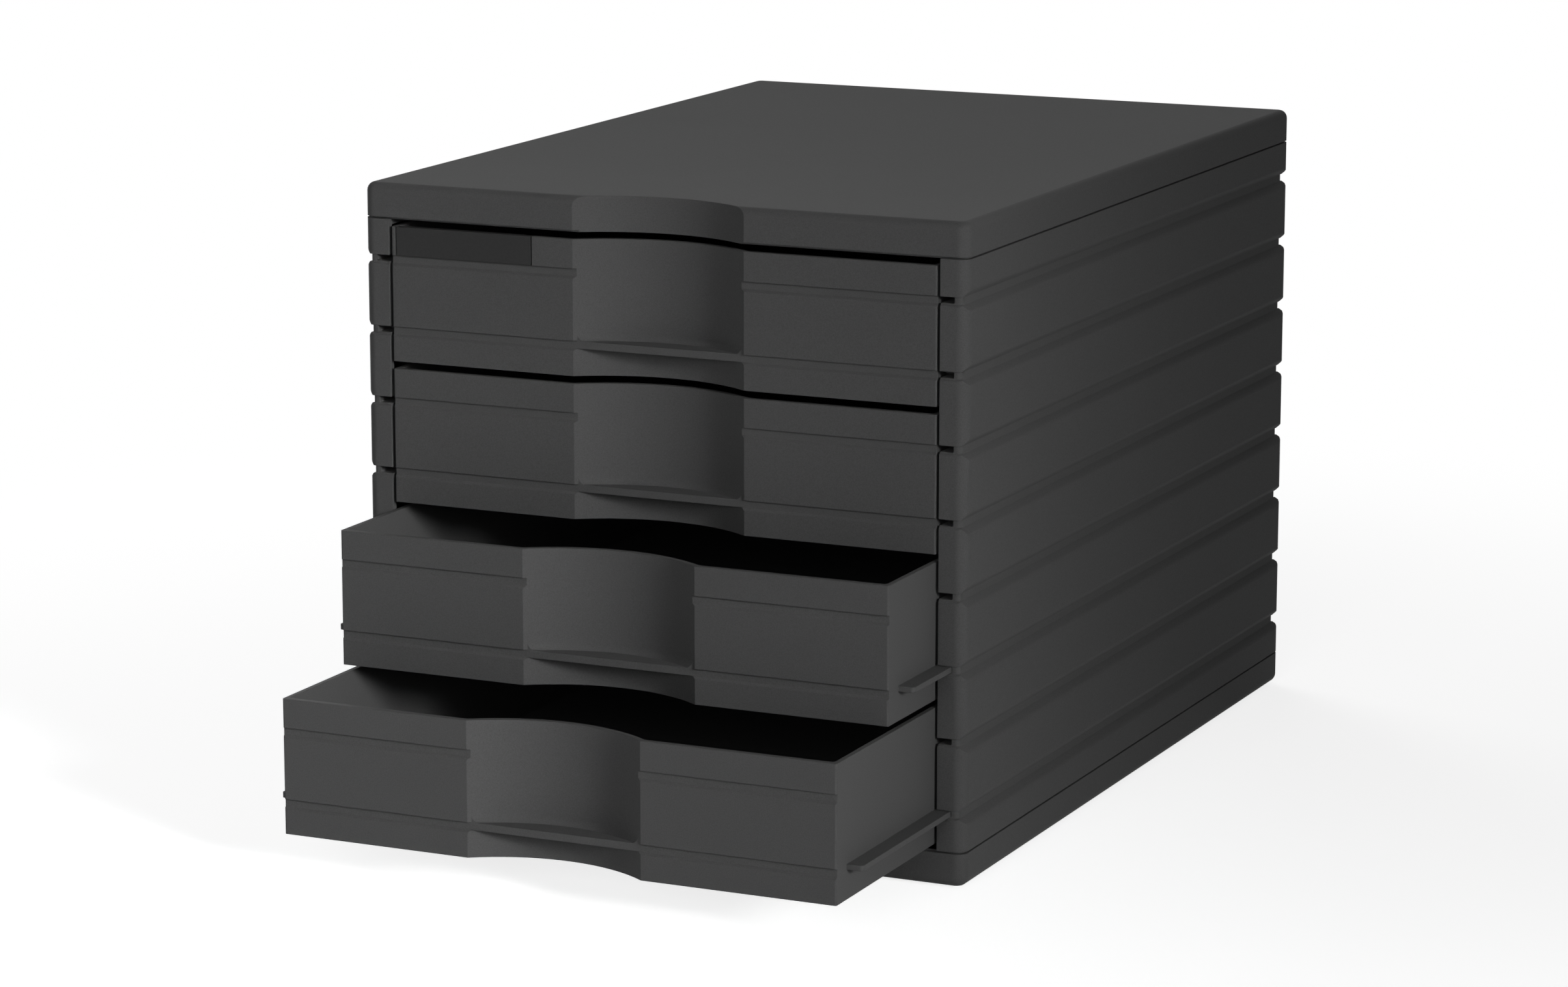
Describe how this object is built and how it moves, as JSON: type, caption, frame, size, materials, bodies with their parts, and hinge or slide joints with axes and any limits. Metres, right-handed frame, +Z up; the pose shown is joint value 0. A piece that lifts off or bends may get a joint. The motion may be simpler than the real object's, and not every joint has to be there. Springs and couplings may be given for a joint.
{
  "type": "desktop drawer cabinet",
  "caption": "Closed desktop letter cabinet in graphite plastic with ribbed side walls and pull-out drawers on runner fins, each with a curved grip recess and finger ledge.",
  "frame": {"origin": "centre of the flat underside of the base, which the feet hold 1 mm above the desk", "axes": "+Z up; the drawers pull out towards -Y; +X is to the right of someone who faces the drawers"},
  "size_m": [0.275, 0.487, 0.2752],
  "materials": {
    "graphite_abs": "finely textured moulded plastic, matte",
    "smoke_label": "smooth dark plastic strip, satin",
    "label_card": "blank dark insert, matte",
    "foot_rubber": "matte black rubber"
  },
  "bodies": {
    "cabinet": {"lid": "graphite_abs", "base": "graphite_abs", "left_side": "graphite_abs", "right_side": "graphite_abs", "back_panel": "graphite_abs", "foot_front_left": "foot_rubber", "foot_front_right": "foot_rubber", "foot_rear_left": "foot_rubber", "foot_rear_right": "foot_rubber"},
    "top_drawer": {"drawer_1": "graphite_abs", "label_plate": "smoke_label", "label_card": "label_card"},
    "second_drawer": {"drawer_2": "graphite_abs"},
    "third_drawer": {"drawer_3": "graphite_abs"},
    "bottom_drawer": {"drawer_4": "graphite_abs"}
  },
  "joints": [
    {"name": "top_drawer_slide", "type": "slide", "parent": "cabinet", "child": "top_drawer", "axis": [0, -1, 0], "range_m": [0, 0.27]},
    {"name": "second_drawer_slide", "type": "slide", "parent": "cabinet", "child": "second_drawer", "axis": [0, -1, 0], "range_m": [0, 0.27]},
    {"name": "third_drawer_slide", "type": "slide", "parent": "cabinet", "child": "third_drawer", "axis": [0, -1, 0], "range_m": [-0.047, 0.223]},
    {"name": "bottom_drawer_slide", "type": "slide", "parent": "cabinet", "child": "bottom_drawer", "axis": [0, -1, 0], "range_m": [-0.097, 0.173]}
  ]
}
